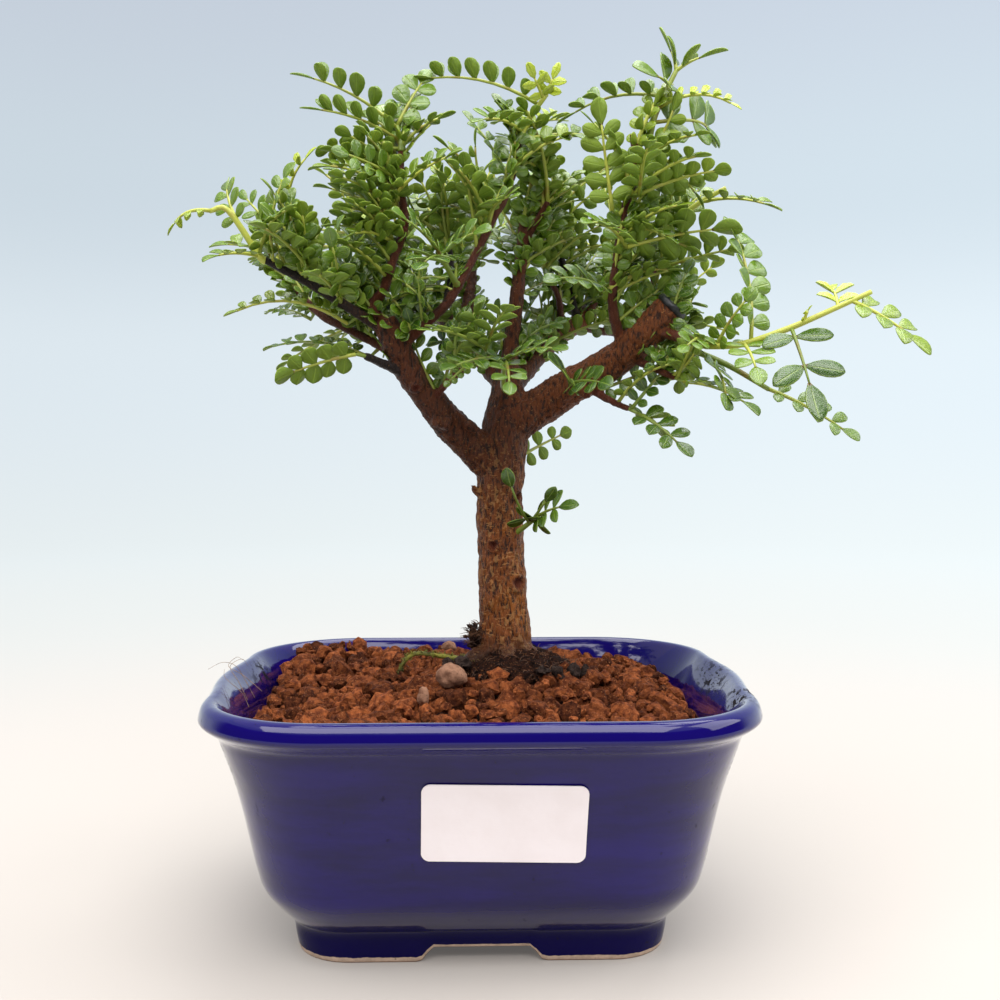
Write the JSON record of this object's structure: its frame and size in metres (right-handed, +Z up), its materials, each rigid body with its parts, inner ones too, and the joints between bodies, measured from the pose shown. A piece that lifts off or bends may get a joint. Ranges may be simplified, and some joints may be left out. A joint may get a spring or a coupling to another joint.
{
  "type": "chinese pepper bonsai",
  "caption": "Small chinese pepper bonsai: a short trunk with spreading limbs and small compound leaves, in a deep blue glazed pot of red-brown granules.",
  "frame": {"origin": "on the surface it stands on, under the middle of the whole object's box", "axes": "+X to the viewer's right along the pot's long side, +Y away from the viewer, +Z up"},
  "size_m": [0.1704, 0.1342, 0.2177],
  "materials": {
    "glaze": "gloss",
    "screen": "matte",
    "granules": "matte",
    "peat": "matte",
    "bark": "matte",
    "paste": "satin",
    "label": "satin",
    "pebble": "matte",
    "leaf": "satin",
    "young_leaf": "satin"
  },
  "bodies": {
    "root": {"drain_screen_left": "screen", "drain_screen_right": "screen", "far_left_shoot": "young_leaf", "front_facing_spray": "leaf", "front_mid_spray": "leaf", "front_rosette": "leaf", "green_stub_left": "leaf", "green_stub_right": "leaf", "label": "label", "left_front_spray": "leaf", "left_low_leaf": "leaf", "left_mid_spray": "leaf", "left_middle_spray": "leaf", "left_red_spray": "leaf", "left_stub_spray": "leaf", "left_under_leaf": "leaf", "left_young_shoot": "young_leaf", "low_front_spray": "leaf", "pebble": "pebble", "pot": "glaze", "right_back_spray": "leaf", "right_front_rosette": "leaf", "right_hanging_spray": "leaf", "right_low_spray": "leaf", "right_lower_spray": "leaf", "right_middle_spray": "leaf", "right_outer_shoot": "young_leaf", "right_upper_spray": "leaf", "root_ball": "peat", "soil": "granules", "top_back_spray": "leaf", "top_centre_shoot": "young_leaf", "top_left_spray": "leaf", "top_right_shoot": "leaf", "trunk_and_branches": "bark", "trunk_back_leaf": "leaf", "trunk_sprout": "leaf", "tuft_01": "leaf", "tuft_02": "leaf", "tuft_03": "leaf", "tuft_04": "leaf", "tuft_05": "leaf", "tuft_06": "leaf", "tuft_07": "leaf", "tuft_08": "leaf", "tuft_09": "leaf", "tuft_10": "leaf", "tuft_11": "leaf", "tuft_12": "leaf", "tuft_13": "leaf", "tuft_14": "leaf", "tuft_15": "leaf", "tuft_16": "leaf", "under_right_spray": "leaf", "upper_left_spray": "leaf", "upright_leaf": "leaf", "wound_paste": "paste"}
  },
  "joints": []
}
